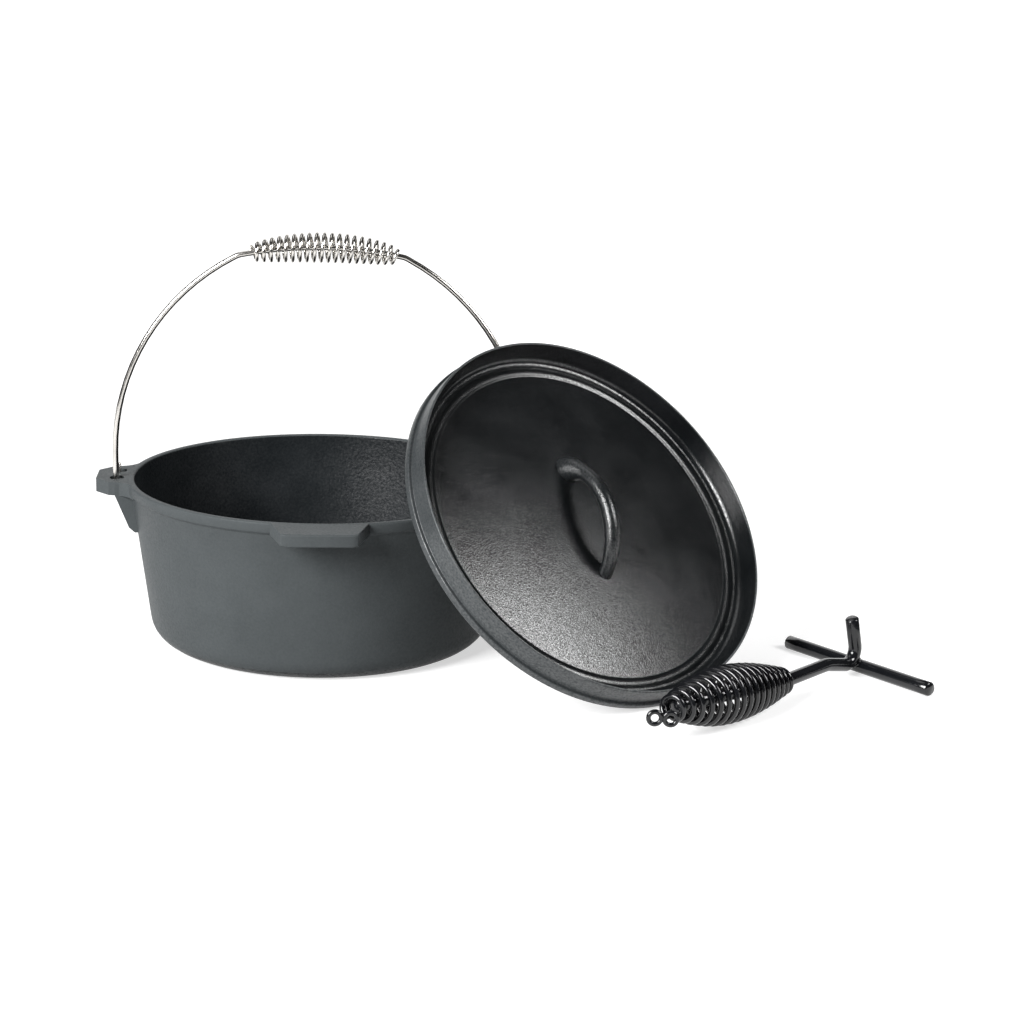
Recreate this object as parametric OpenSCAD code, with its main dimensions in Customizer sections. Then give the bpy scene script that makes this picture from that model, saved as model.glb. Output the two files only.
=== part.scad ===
// Camp dutch oven with its lid taken off, a wire bail and a lid lifter.
// The pot stands on the floor, its axis is Z and its lugs lie on the X axis.
// The lid stands on its edge and leans on the bail; the lifter lies in front of it.

/* [Pot] */
// Outer radius of the rim
rim_r = 155; // [120:0.5:190]
// Height of the pot
pot_h = 131; // [105:0.5:170]
// Height of the thicker band round the rim
rim_band_h = 8; // [4:0.5:14]
// How far the rim band stands out from the wall
rim_band_step = 1.6; // [0.8:0.1:3]
// Thickness of the wall at the rim, band included
rim_t = 5.6; // [4:0.1:8]
// Slant of the wall from the vertical, in degrees
wall_slant = 8; // [3:0.5:12]
// Thickness of the floor
floor_t = 6; // [4:0.5:10]
// Outer fillet at the foot of the wall
foot_fillet = 20; // [8:0.5:24]
// Inner fillet between floor and wall
inner_fillet = 20; // [8:0.5:30]

/* [Lugs and tab] */
// Metal between a slot and the tip of its lug
lug_end = 10.75; // [5:0.25:25]
// Thickness of a lug
lug_t = 11; // [8:0.5:14]
// Width of a lug at its tip
lug_tip_w = 50; // [44:1:70]
// Slant of a lug's sides, in degrees
lug_side_slant = 8; // [0:1:30]
// Size of the cut corners at the tip of a lug
lug_corner = 11; // [2:0.5:12]
// Width of the gusset under a lug
gusset_w = 54; // [46:1:64]
// How far the gusset stands out from the rim
gusset_reach = 8; // [4:0.5:12]
// How far the gusset runs down the wall below the lug
gusset_drop = 26; // [20:1:50]
// Size of the slanted toe at the gusset's lower end
gusset_toe = 4; // [2:0.5:6]
// Width across the bar of metal between a lug's two slots
bridge_w = 11; // [8:0.5:14]
// Length of a lug slot along Y
slot_len = 13.5; // [13:0.5:16]
// Width of a lug slot
slot_w = 11.5; // [9.5:0.5:12.5]
// How far the middle of a lug's slots lies outside the rim
slot_out = 7.5; // [7.5:0.5:10]
// How far the front tab stands out from the rim
tab_reach = 28.5; // [15:0.5:40]
// Thickness of the front tab
tab_t = 10; // [6:0.5:14]
// Width of the front tab at its outer edge
tab_tip_w = 54; // [40:1:90]
// Width of the front tab where it leaves the rim
tab_root_w = 76; // [50:1:110]
// Length of the front tab's cut corners
tab_corner = 3; // [3:0.5:14]
// Width of the front tab's cut corners beyond its outer edge
tab_flare = 2; // [2:0.2:6]

/* [Lid] */
// Clearance between the lid's locating lip and the pot's mouth
lip_clear = 0.8; // [0.4:0.1:2]
// Depth of the locating lip under the lid
lip_h = 3; // [1.5:0.5:5]
// Thickness of the locating lip
lip_t = 7; // [4:0.5:10]
// Height of the lower edge band of the lid
lid_band_h = 6; // [4:0.5:9]
// How far the flange is set in from the lower band
flange_inset = 2.4; // [1:0.2:5]
// Depth of the fine groove between the band and the flange
groove_d = 0.6; // [0.2:0.1:1]
// Height of the lid from its seat to the top of the flange
lid_h = 23.8; // [18:0.2:34]
// Bevel along the lid's outer edges
lid_bevel = 1; // [0.4:0.2:2]
// Thickness of the flange at its foot
flange_t = 4.6; // [4:0.2:8]
// How far the flange's inner side leans out to its top
flange_taper = 2.6; // [0:0.2:2.8]
// Thickness of the lid plate
plate_t = 5; // [4:0.5:8]
// Height of the plate's upper face over the seat
plate_z = 5; // [4.5:0.5:9]
// Rise of the dome over the plate
dome_rise = 5.4; // [1:0.2:8]
// Radius of the soft ridge round the dome
ridge_r = 136; // [100:0.5:137]
// Radius of the ridge's round section
ridge_round = 8; // [2:0.5:10]
// How far the ridge stands above the plate
ridge_rise = 1.3; // [0.5:0.1:2]
// Fillet between the flange and the plate
flange_fillet = 6; // [3:0.5:9]
// Distance between the feet of the lid's loop
loop_span = 90; // [70:1:120]
// Height of the loop's centre line over the dome
loop_h = 27.6; // [24:0.2:45]
// Thickness of the loop's bar
loop_d = 11.5; // [8:0.5:14]
// Radius of the loop's rounded upper foot
loop_foot_r = 8.8; // [6:0.2:10]
// Radius of the loop's rounded lower foot
loop_low_foot_r = 6.2; // [6:0.2:10]
// How far the middles of the loop's feet lie under the top of the dome
loop_sink = 1; // [0:0.2:2]
// Turn of the loop on the lid, in degrees
loop_turn = -7.8; // [-20:0.2:20]

/* [Lid place] */
// Tilt of the leaning lid from the horizontal, in degrees
lid_tilt = 49.1; // [45:0.1:55]
// Direction that the leaning lid faces, in degrees
lid_face = -51.9; // [-56:0.1:-48]
// Sideways place of the leaning lid
lid_side = 94.5; // [85:0.5:105]
// Gap between pieces that lean on each other
lean_gap = 0.4; // [0.3:0.1:1]

/* [Bail] */
// Diameter of the bail wire
bail_d = 4.6; // [3:0.1:5]
// Height of the bail's straight legs over the hinge axis
leg_h = 27; // [20:0.5:50]
// Length of the grip section of the wire, between its two bends
grip_chord = 124; // [100:1:140]
// Slope of the wire at the ends of the grip section, in degrees
grip_slope = 12; // [8:0.5:16]
// Slope of the wire just outside the grip section, in degrees
shoulder_slope = 28; // [20:0.5:32]
// Radius of the bend at the ends of the grip section
shoulder_bend = 12; // [8:1:30]
// Clearance between the hook and the corners of the bridge
hook_clear = 0.55; // [0.3:0.05:0.8]
// How far the hook's end stands above the lug
hook_tip_h = 6.5; // [3:0.5:7]
// Forward lean of the bail at rest, in degrees
bail_lean = 1.5; // [0:0.1:3]
// Sideways play of the bail at rest
bail_sway = -1; // [-2.5:0.1:2.5]

/* [Bail grip] */
// Diameter of the grip's spring wire
grip_wire_d = 3; // [1.6:0.1:3.4]
// Turns in the grip
grip_turns = 20; // [12:1:24]
// Outer diameter of the grip at the middle
grip_mid_d = 24.5; // [16:0.5:30]
// Clearance between the grip's end turns and the bail wire
grip_clear = 0.4; // [0.3:0.1:1]
// Arc of the bail wire left bare at the two ends of the grip, in degrees
grip_bare = 1.6; // [1.6:0.2:4]
// Arc that the grip has slid to the right along the wire, in degrees
grip_slide = 0.4; // [-0.4:0.1:0.4]

/* [Lid lifter] */
// Diameter of the lifter's rod
rod_d = 10.5; // [6:0.5:12]
// Length of the rod from its tail to the first bend
rod_tail_run = 140; // [130:1:180]
// Length of the rod between the first and second bends
rod_mid_run = 45; // [20:1:60]
// Length of the rod between the second bend and the hook
rod_front_run = 23; // [12:1:50]
// Upward kink at the grip's front end, in degrees
rod_kick = 5.5; // [0:0.5:10]
// Downward bend behind the hook, in degrees
rod_dip = 13.5; // [8:0.5:20]
// Turn of the rod into the hook, in degrees
hook_turn = 119; // [95:1:125]
// Radius of the rod's gentle bends
rod_bend = 25; // [15:1:40]
// Radius of the bend at the hook
hook_bend = 11; // [8:0.5:20]
// Length of the hook's straight end
hook_run = 24; // [15:1:40]
// Length of the crossbar
bar_len = 153; // [110:1:190]
// Diameter of the crossbar
bar_d = 11; // [6:0.5:13]
// Skew of the crossbar from square to the rod, in degrees
bar_skew = -9.5; // [-12:0.5:12]
// Width of the weld between the rod and the crossbar
weld_d = 9.4; // [5:0.2:11]
// Gap between the crossbar and the rod at the weld
weld_gap = 0.1; // [0.1:0.1:0.4]
// Clearance of the lifter from the floor
lifter_clear = 0.3; // [0.2:0.1:1]
// How far the lifter grip's belly lies beyond the rim along X
lifter_out = 143; // [139:1:205]
// How far the lifter grip's belly lies in front of the rim
lifter_fore = 69; // [57:1:105]
// Direction of the lifter on the floor, in degrees
lifter_turn = 44.2; // [35:0.1:50]

/* [Lifter grip] */
// Diameter of the lifter grip's spring wire
coil_wire_d = 4.4; // [3:0.2:5]
// Turns in the lifter grip
coil_turns = 17; // [10:1:20]
// Length of the lifter grip from its tail to its belly
coil_tail_len = 66; // [60:1:85]
// Length of the lifter grip from its belly to its front end
coil_front_len = 75; // [70:1:90]
// Outer diameter of the lifter grip at its belly
coil_mid_d = 44.4; // [32:0.2:50]
// Outer diameter of the turn at the lifter grip's tail
coil_tail_d = 18; // [17:0.5:26]
// How far the rod's tail stays inside the lifter grip
rod_inset = 8; // [7:0.5:12]
// Clearance between the front turn and the rod
coil_clear = 0.5; // [0.3:0.1:1]
// Inner radius of a tail eye
eye_r = 2.8; // [2:0.1:4]
// Diameter of the wire of the tail eyes
eye_wire_d = 3.6; // [3:0.1:4.6]
// Turn of the tail eyes from the lifter's own direction, in degrees
eye_turn = 44; // [0:1:60]
// Gap between the tail eyes and the spring's end
eye_gap = 1; // [1:0.1:5]
// How far the tail eyes stand to the side of the spring's end
eye_aside = 5.5; // [4:0.1:7]
// Distance between the middles of the tail eyes
eye_apart = 11.6; // [9:0.1:12]

/* [Hidden] */
$fn = 96;
over = 1;
run_lap = 0.3;
run_step = 0.04;
cast_grey = [0.30, 0.31, 0.32];
cast_black = [0.13, 0.14, 0.15];
stainless = [0.78, 0.76, 0.73];
enamel_black = [0.07, 0.07, 0.08];

// Pot: wall radii at a height, inner and outer
mouth_r = rim_r - rim_t;
band_z = pot_h - rim_band_h;
wall_r = rim_r - rim_band_step;
function wall_out(z) = wall_r - (pot_h - z) * tan(wall_slant);
function wall_in(z) = mouth_r - (pot_h - z) * tan(wall_slant);
foot_r = wall_out(foot_fillet) - foot_fillet / cos(wall_slant);
foot_touch = [foot_r + foot_fillet * cos(wall_slant), foot_fillet * (1 - sin(wall_slant))];
inner_r = wall_in(floor_t + inner_fillet) - inner_fillet / cos(wall_slant);
inner_z = floor_t + inner_fillet;
inner_touch = [inner_r + inner_fillet * cos(wall_slant), inner_z - inner_fillet * sin(wall_slant)];

// Lugs and hinge of the bail
lug_z = pot_h - lug_t;
hinge_z = pot_h - lug_t / 2;
bridge_corner = norm([bridge_w / 2, lug_t / 2]);
hook_r = bridge_corner + hook_clear + bail_d / 2;
hook_tip_run = lug_t / 2 + hook_tip_h;
slot_x = rim_r + slot_out;
lug_reach = slot_x + slot_w / 2 + lug_end;
bail_span = slot_x;
slot_y = bridge_w / 2 + slot_len / 2;
pocket_r = norm([hook_r + bail_d / 2, hook_tip_run]) + hook_clear;

// Bail hoop: three arcs a side, tangent to each other, with short straight links
link_run = 1.5;
top_arc_r = (grip_chord / 2 - link_run) / sin(grip_slope);
shoulder_run = shoulder_bend * (sin(shoulder_slope) - sin(grip_slope));
link_reach = link_run * (cos(grip_slope) + cos(shoulder_slope));
side_arc_r = (bail_span - grip_chord / 2 - link_reach - shoulder_run) / (1 - sin(shoulder_slope));
shoulder_rise = shoulder_bend * (cos(grip_slope) - cos(shoulder_slope));
link_rise = link_run * (sin(grip_slope) + sin(shoulder_slope));
top_rise = top_arc_r * (1 - cos(grip_slope));
hoop_rise = side_arc_r * cos(shoulder_slope) + shoulder_rise + link_rise + top_rise;
hoop_top = leg_h + hoop_rise;

// Side of the hoop at a height over the hinge axis, before the forward lean
function hoop_x(h) =
    bail_span - side_arc_r + side_arc_r * cos(asin(min(1, max(0, (h - leg_h) / side_arc_r))));
function bail_point(h) = [
    hoop_x(h) + bail_sway,
    -hook_r * cos(bail_lean) - h * sin(bail_lean),
    hinge_z - hook_r * sin(bail_lean) + h * cos(bail_lean)
];

// Lid: stands on its lower edge and leans on the bail
lid_r = rim_r;
lip_r = mouth_r - lip_clear;
flange_r = lid_r - flange_inset;
lid_facing = [sin(lid_tilt) * cos(lid_face), sin(lid_tilt) * sin(lid_face), cos(lid_tilt)];
lid_centre_z = lid_r * sin(lid_tilt);
edge_h = 2 * lid_centre_z - hinge_z;
lip_top_h = lid_centre_z + lip_r * sin(lid_tilt) - lip_h * cos(lid_tilt) - hinge_z;
edge_lean = lid_facing * bail_point(edge_h);
lip_lean = lid_facing * bail_point(lip_top_h) + lip_h;
lid_lean = max(edge_lean, lip_lean) + bail_d / 2 + lean_gap;
lid_out = (lid_lean - cos(lid_tilt) * lid_centre_z) / sin(lid_tilt);
lid_x = lid_out * cos(lid_face) - lid_side * sin(lid_face);
lid_y = lid_out * sin(lid_face) + lid_side * cos(lid_face);
flange_in = flange_r - flange_t;
dome_steps = 12;
function dome_point(t) = [ridge_r * t, plate_z + dome_rise * (1 - t * t)];
loop_arc_r = (loop_span * loop_span / 4 + loop_h * loop_h) / (2 * loop_h);
loop_half = asin(loop_span / 2 / loop_arc_r);

// Springs: 8 rings of 6 sides for each turn
turn_rings = 8;
tube_sides = 6;
grip_mid_r = (grip_mid_d - grip_wire_d) / 2;
grip_end_r = bail_d / 2 + grip_clear + grip_wire_d / 2 / cos(180 / tube_sides);
grip_arc = 2 * grip_slope - grip_bare;
grip_power = 0.5;
coil_power = 1;
coil_mid_r = (coil_mid_d - coil_wire_d) / 2;
coil_tail_r = (coil_tail_d - coil_wire_d) / 2;
coil_len = coil_tail_len + coil_front_len;
coil_front_r = rod_d / 2 + coil_clear + coil_wire_d / 2 / cos(180 / tube_sides);

// Lifter: the rod's bends in its own plane, along X from the grip's belly
rod_start = rod_inset - coil_tail_len;
kick_len = 2 * rod_bend * sin(rod_kick / 2);
dip_len = 2 * rod_bend * sin(rod_dip / 2);
function along(len, slope) = [len * cos(slope), len * sin(slope)];
rod_kick_end = [rod_start + rod_tail_run, 0] + along(kick_len, rod_kick / 2);
rod_dip_end = rod_kick_end + along(rod_mid_run, rod_kick) + along(dip_len, rod_kick - rod_dip / 2);
shaft_slope = rod_kick - rod_dip;
elbow = rod_dip_end + along(rod_front_run, shaft_slope);
elbow_centre = elbow + along(hook_bend, shaft_slope + 90);
bar_turn = shaft_slope - 90 + hook_turn / 2;
bar_at = elbow_centre + along(hook_bend + rod_d / 2 + bar_d / 2 + weld_gap, bar_turn);
bar_far = norm(bar_at);
belly = coil_mid_d / 2 + lifter_clear;
bar_rest = bar_d / 2 + lifter_clear;
lifter_pitch = atan2(bar_at[1], bar_at[0]) - asin((bar_rest - belly) / bar_far);

// A rod that follows runs and bends: each step is [length] or [bend radius, angle] or [0, 0, roll].
// A run is a hair thicker than the bends and laps into them, so that they join as one solid.
module rod(steps, d, i = 0) {
    if (i < len(steps)) {
        s = steps[i];
        if (len(s) == 1) {
            translate([0, 0, -run_lap]) cylinder(d = d + run_step, h = s[0] + 2 * run_lap);
            translate([0, 0, s[0]]) rod(steps, d, i + 1);
        } else if (len(s) == 2) {
            r = s[0];
            a = s[1];
            translate([r, 0, 0]) rotate([90, 0, 180])
                rotate_extrude(angle = a) translate([r, 0]) circle(d = d);
            translate([r * (1 - cos(a)), 0, r * sin(a)]) rotate([0, a, 0]) rod(steps, d, i + 1);
        } else {
            rotate([0, 0, s[2]]) rod(steps, d, i + 1);
        }
    }
}

function unit(v) = v / norm(v);

// Faces of a closed tube of n rings, all triangles
function tube_faces(n) = let (m = tube_sides) concat(
    [for (i = [0 : n - 2], k = [0 : m - 1]) [i * m + k, (i + 1) * m + k, i * m + (k + 1) % m]],
    [for (i = [0 : n - 2], k = [0 : m - 1])
        [(i + 1) * m + k, (i + 1) * m + (k + 1) % m, i * m + (k + 1) % m]],
    [for (k = [1 : m - 2]) [0, k, k + 1]],
    [for (k = [1 : m - 2]) [(n - 1) * m, (n - 1) * m + k + 1, (n - 1) * m + k]]
);

// A tube along a list of points, with frames carried along so that it never twists
function carried(side, t) = unit(side - (side * t) * t);
function frames(ways, side, i = 0) =
    i == len(ways) ? [] :
    let (t = unit(ways[i]), s = carried(side, t)) concat([[s, cross(t, s)]], frames(ways, s, i + 1));
module tube(path, d) {
    n = len(path);
    ways = [for (i = [0 : n - 1]) path[min(i + 1, n - 1)] - path[max(i - 1, 0)]];
    axes = frames(ways, unit(cross(ways[0], path[turn_rings] - path[0])));
    points = [for (i = [0 : n - 1], k = [0 : tube_sides - 1])
        let (a = 360 * k / tube_sides) path[i] + d / 2 * (cos(a) * axes[i][0] + sin(a) * axes[i][1])];
    polyhedron(points, tube_faces(n), convexity = 12);
}

// Least gap of a coil to itself: neighbouring turns compared on the path's points
function coil_gap(path, d) = min([
    for (i = [0 : len(path) - 1 - turn_rings], j = [-2 : 2])
        if (i + turn_rings + j < len(path) && i + turn_rings + j > i + 4)
            norm(path[i] - path[i + turn_rings + j]) - d
]);

// Barrel of a spring: radius at a share t of its length, widest at the share belly_at
function barrel(t, first, mid, last, belly_at, power) =
    t < belly_at ? first + (mid - first) * pow(sin(90 * t / belly_at), power)
                 : last + (mid - last) * pow(sin(90 * (1 - t) / (1 - belly_at)), power);

// Bail grip: a barrel spring wound round the curved top of the bail wire
grip_count = grip_turns * turn_rings;
function grip_point(i) =
    let (
        t = i / grip_count,
        a = 360 * i / turn_rings,
        bow = (t - 0.5) * grip_arc + grip_slide,
        r = barrel(t, grip_end_r, grip_mid_r, grip_end_r, 0.5, grip_power),
        reach = top_arc_r + r * cos(a)
    )
    [reach * sin(bow), r * sin(a), hoop_top - top_arc_r + reach * cos(bow)];
grip_path = [for (i = [0 : grip_count]) grip_point(i)];
echo(bail_grip_least_gap = coil_gap(grip_path, grip_wire_d));

// Lifter grip: a barrel spring round the rod, wide at the tail and tight at the front
coil_count = coil_turns * turn_rings;
function coil_point(i) =
    let (
        t = i / coil_count,
        a = 360 * i / turn_rings + 270,
        r = barrel(t, coil_tail_r, coil_mid_r, coil_front_r, coil_tail_len / coil_len, coil_power)
    )
    [t * coil_len - coil_tail_len, r * cos(a), r * sin(a)];
coil_path = [for (i = [0 : coil_count]) coil_point(i)];
echo(lifter_grip_least_gap = coil_gap(coil_path, coil_wire_d));

// Pot: outside and inside of revolution, with fillets as true rounds
module pot_outside() {
    rotate_extrude() {
        polygon([
            [0, 0], [foot_r, 0], foot_touch, [wall_r, pot_h], [0, pot_h]
        ]);
        intersection() {
            translate([foot_r, foot_fillet]) circle(foot_fillet);
            square([rim_r, pot_h]);
        }
        polygon([
            [0, band_z - rim_band_step], [wall_out(band_z - rim_band_step), band_z - rim_band_step],
            [rim_r, band_z], [rim_r, pot_h], [0, pot_h]
        ]);
    }
}

module pot_inside() {
    rotate_extrude() {
        polygon([
            [0, floor_t], [inner_r, floor_t], inner_touch,
            [wall_in(pot_h + over), pot_h + over], [0, pot_h + over]
        ]);
        intersection() {
            translate([inner_r, inner_z]) circle(inner_fillet);
            translate([0, floor_t]) square([rim_r, pot_h]);
        }
    }
}

// Outline of a lug seen from above, on the +X side
module lug_outline() {
    tip_half = lug_tip_w / 2;
    flare_half = tip_half + lug_corner * tan(lug_side_slant);
    root_half = tip_half + (lug_reach - mouth_r) * tan(lug_side_slant);
    intersection() {
        circle(lug_reach);
        polygon([
            [mouth_r, -root_half], [lug_reach - lug_corner, -flare_half],
            [lug_reach, lug_corner - tip_half], [lug_reach, tip_half - lug_corner],
            [lug_reach - lug_corner, flare_half], [mouth_r, root_half]
        ]);
    }
}

// Gusset under a lug, in the plane of X and Z
module gusset() {
    foot_z = lug_z - gusset_drop;
    rotate([90, 0, 0]) linear_extrude(gusset_w, center = true) polygon([
        [wall_out(foot_z) - rim_t / 2, foot_z - gusset_toe],
        [wall_out(foot_z - gusset_toe), foot_z - gusset_toe],
        [wall_out(foot_z) + gusset_toe, foot_z], [rim_r + gusset_reach, lug_z],
        [rim_r + gusset_reach, pot_h - over], [wall_out(lug_z) - rim_t / 2, pot_h - over]
    ]);
}

// Slot with round ends through a lug, on the side that the sign gives
module lug_slot(side) {
    half = (slot_len - slot_w) / 2;
    translate([slot_x, side * slot_y, lug_z - over]) linear_extrude(lug_t + 2 * over) {
        for (k = [-1, 1]) translate([0, k * half]) circle(d = slot_w);
        square([slot_w, 2 * half], center = true);
    }
}

// Room under a lug for the hook as the bail swings
module hook_pocket() {
    translate([slot_x - slot_w / 2, 0, hinge_z]) rotate([0, 90, 0]) intersection() {
        cylinder(r = pocket_r, h = lug_reach);
        translate([lug_t / 2, -lug_reach, 0]) cube(2 * lug_reach);
    }
}

module lug() {
    difference() {
        union() {
            translate([0, 0, lug_z]) linear_extrude(lug_t) lug_outline();
            gusset();
        }
        lug_slot(1);
        lug_slot(-1);
        hook_pocket();
    }
}

// Lifting tab at the front of the rim
module tab() {
    outer = rim_r + tab_reach;
    translate([0, 0, pot_h - tab_t]) linear_extrude(tab_t) intersection() {
        circle(outer);
        polygon([
            [-tab_root_w / 2, -mouth_r], [-tab_tip_w / 2 - tab_flare, tab_corner - outer],
            [tab_corner - tab_tip_w / 2, -outer], [tab_tip_w / 2 - tab_corner, -outer],
            [tab_tip_w / 2 + tab_flare, tab_corner - outer], [tab_root_w / 2, -mouth_r]
        ]);
    }
}

module pot() {
    color(cast_grey) difference() {
        union() {
            pot_outside();
            lug();
            rotate([0, 0, 180]) lug();
            tab();
        }
        pot_inside();
    }
}

// Lid in its own frame: the seat is at zero height and the flange stands up
module lid_round() {
    rotate_extrude() {
        polygon([
            [0, plate_z - plate_t], [lip_r - lip_t, plate_z - plate_t], [lip_r - lip_t, -lip_h],
            [lip_r, -lip_h], [lip_r, 0], [lid_r, 0], [lid_r, lid_band_h - lid_bevel],
            [lid_r - lid_bevel, lid_band_h], [flange_r - groove_d, lid_band_h + groove_d],
            [flange_r, lid_h - lid_bevel], [flange_r - lid_bevel, lid_h],
            [flange_in + flange_taper, lid_h], [flange_in, plate_z + flange_fillet], [flange_in, plate_z],
            [0, plate_z]
        ]);
        polygon(concat(
            [[0, plate_z - over]],
            [for (k = [0 : dome_steps]) dome_point(k / dome_steps)],
            [[ridge_r, plate_z - over]]
        ));
        intersection() {
            translate([ridge_r, plate_z + ridge_rise - ridge_round]) circle(ridge_round);
            translate([ridge_r - ridge_round, plate_z - over]) square([2 * ridge_round, ridge_round]);
        }
        difference() {
            translate([flange_in - flange_fillet, plate_z - over])
                square([flange_fillet + over, flange_fillet + over]);
            translate([flange_in - flange_fillet, plate_z + flange_fillet]) circle(flange_fillet);
        }
    }
}

// Loop handle on the lid, an arc with rounded feet
module lid_loop() {
    foot_z = plate_z + dome_rise;
    ball_z = foot_z - loop_sink;
    rotate([0, 0, loop_turn]) {
        translate([0, 0, foot_z + loop_h - loop_arc_r]) rotate([90, 0, 0]) rotate([0, 0, 90 - loop_half])
            rotate_extrude(angle = 2 * loop_half) translate([loop_arc_r, 0]) circle(d = loop_d);
        for (k = [-1, 1]) translate([k * loop_span / 2, 0, ball_z]) difference() {
            sphere(k < 0 ? loop_foot_r : loop_low_foot_r);
            translate([0, 0, -2 * loop_foot_r - plate_t / 2]) cube(4 * loop_foot_r, center = true);
        }
    }
}

module lid() {
    color(cast_black) translate([lid_x, lid_y, lid_centre_z]) rotate([0, lid_tilt, lid_face]) {
        lid_round();
        lid_loop();
    }
}

// Bail frame: the hinge axis, with the forward lean
module bail_frame() {
    translate([0, 0, hinge_z]) rotate([bail_lean, 0, 0]) translate([bail_sway, -hook_r, 0]) children();
}

// Half of the hoop, from its top to the end of the hook
module bail_half() {
    translate([0, 0, hoop_top]) rotate([0, 90, 0]) rod([
        [link_run], [top_arc_r, grip_slope], [link_run], [shoulder_bend, shoulder_slope - grip_slope],
        [link_run], [side_arc_r, 90 - shoulder_slope], [leg_h], [0, 0, 90], [hook_r, 180], [hook_tip_run]
    ], bail_d);
}

module bail_wire() {
    color(stainless) bail_frame() {
        bail_half();
        mirror([1, 0, 0]) bail_half();
    }
}

module bail_grip_coil() {
    color(stainless) bail_frame() tube(grip_path, grip_wire_d);
}

// Lifter frame: the grip's belly on the floor, nose down until the crossbar rests
module lifter_frame() {
    translate([rim_r + lifter_out, -rim_r - lifter_fore, belly]) rotate([0, lifter_pitch, lifter_turn]) children();
}

module rod_solid() {
    translate([rod_start, 0, 0]) rotate([0, 90, 0]) rotate([0, 0, 180]) rod([
        [rod_tail_run], [rod_bend, rod_kick], [rod_mid_run], [0, 0, 180], [rod_bend, rod_dip], [0, 0, 180],
        [rod_front_run], [hook_bend, hook_turn], [hook_run]
    ], rod_d);
}

module bar_solid() {
    translate([bar_at[0], 0, bar_at[1]]) rotate([90, 0, bar_skew])
        cylinder(d = bar_d, h = bar_len, center = true);
}

module lifter_rod() {
    color(enamel_black) lifter_frame() rod_solid();
}

module lifter_crossbar() {
    color(enamel_black) lifter_frame() bar_solid();
}

// Weld between the rod and the crossbar
module lifter_crossbar_weld() {
    weld_at = elbow_centre + along(hook_bend + rod_d / 2, bar_turn);
    color(enamel_black) lifter_frame() difference() {
        translate([weld_at[0], 0, weld_at[1]]) sphere(d = weld_d);
        rod_solid();
        bar_solid();
    }
}

module lifter_grip_coil() {
    color(enamel_black) lifter_frame() tube(coil_path, coil_wire_d);
}

// Two eyes of spring wire side by side at the tail, below the end of the rod
module lifter_tail_eye() {
    eye_ring = eye_r + eye_wire_d / 2;
    color(enamel_black) lifter_frame()
        translate([-coil_tail_len - coil_wire_d / 2 - eye_gap, -eye_aside, -coil_tail_r])
        rotate([90, 0, -eye_turn])
            for (k = [0, -1]) translate([k * eye_apart, 0, -eye_wire_d / 2])
                rotate_extrude() translate([eye_ring, 0]) circle(d = eye_wire_d);
}

pot();
lid();
bail_wire();
bail_grip_coil();
lifter_rod();
lifter_crossbar();
lifter_crossbar_weld();
lifter_grip_coil();
lifter_tail_eye();
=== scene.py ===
# Camp dutch oven: the looks of its pot, leaning lid, wire bail and lid lifter. Sizes are in metres.
import math

import bmesh
import bpy
from mathutils import Matrix, Vector
from mathutils.geometry import tessellate_polygon


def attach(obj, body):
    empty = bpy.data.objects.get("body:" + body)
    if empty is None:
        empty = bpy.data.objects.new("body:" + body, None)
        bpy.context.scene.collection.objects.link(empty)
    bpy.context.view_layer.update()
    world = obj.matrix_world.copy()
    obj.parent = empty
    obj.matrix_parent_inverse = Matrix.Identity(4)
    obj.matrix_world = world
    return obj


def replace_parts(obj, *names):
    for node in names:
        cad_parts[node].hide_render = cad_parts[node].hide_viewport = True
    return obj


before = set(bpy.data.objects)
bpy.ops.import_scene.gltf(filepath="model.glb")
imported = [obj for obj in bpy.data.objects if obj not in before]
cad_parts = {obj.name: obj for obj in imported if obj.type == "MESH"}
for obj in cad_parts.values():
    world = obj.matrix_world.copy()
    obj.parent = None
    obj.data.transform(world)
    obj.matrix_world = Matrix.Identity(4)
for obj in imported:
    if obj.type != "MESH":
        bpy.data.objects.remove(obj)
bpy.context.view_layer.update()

# Pot
RIM_R = 0.155
POT_H = 0.131
RIM_BAND_H = 0.008
RIM_BAND_STEP = 0.0016
RIM_T = 0.0056
WALL_SLANT = math.radians(8)
FLOOR_T = 0.006
FOOT_FILLET = 0.020
INNER_FILLET = 0.020
RIM_ROUND = 0.0016
BAND_SOFT = 0.0006
OUTER_RINGS = (0.05, 0.09)
INNER_RINGS = (0.1, 0.06)
MOUTH_MARGIN = 0.0004
MOUTH_DROP = 0.0009

# Lugs and tab. Their tops lie a hair under the rim's top, so that the faces do not fight.
LUG_REACH = 0.179
LUG_T = 0.011
LUG_TIP_W = 0.050
LUG_SIDE_SLANT = math.radians(8)
LUG_CORNER = 0.011
LUG_ROOT_BLEND = 0.015
LUG_ROOT_SINK = 0.004
ROOT_SEAT = 1.5 * RIM_ROUND
GUSSET_W = 0.057
GUSSET_REACH = 0.008
GUSSET_DROP = 0.026
GUSSET_TOE = 0.004
GUSSET_SINK = 0.0006
BRIDGE_W = 0.011
SLOT_LEN = 0.0135
SLOT_W = 0.0115
TAB_REACH = 0.0285
TAB_T = 0.010
TAB_TIP_W = 0.054
TAB_ROOT_W = 0.076
TAB_CORNER = 0.003
TAB_FLARE = 0.002
CAST_BEVEL = 0.0014
SHARP_EDGE = math.radians(38)
TOP_DROP = 0.00005

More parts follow.
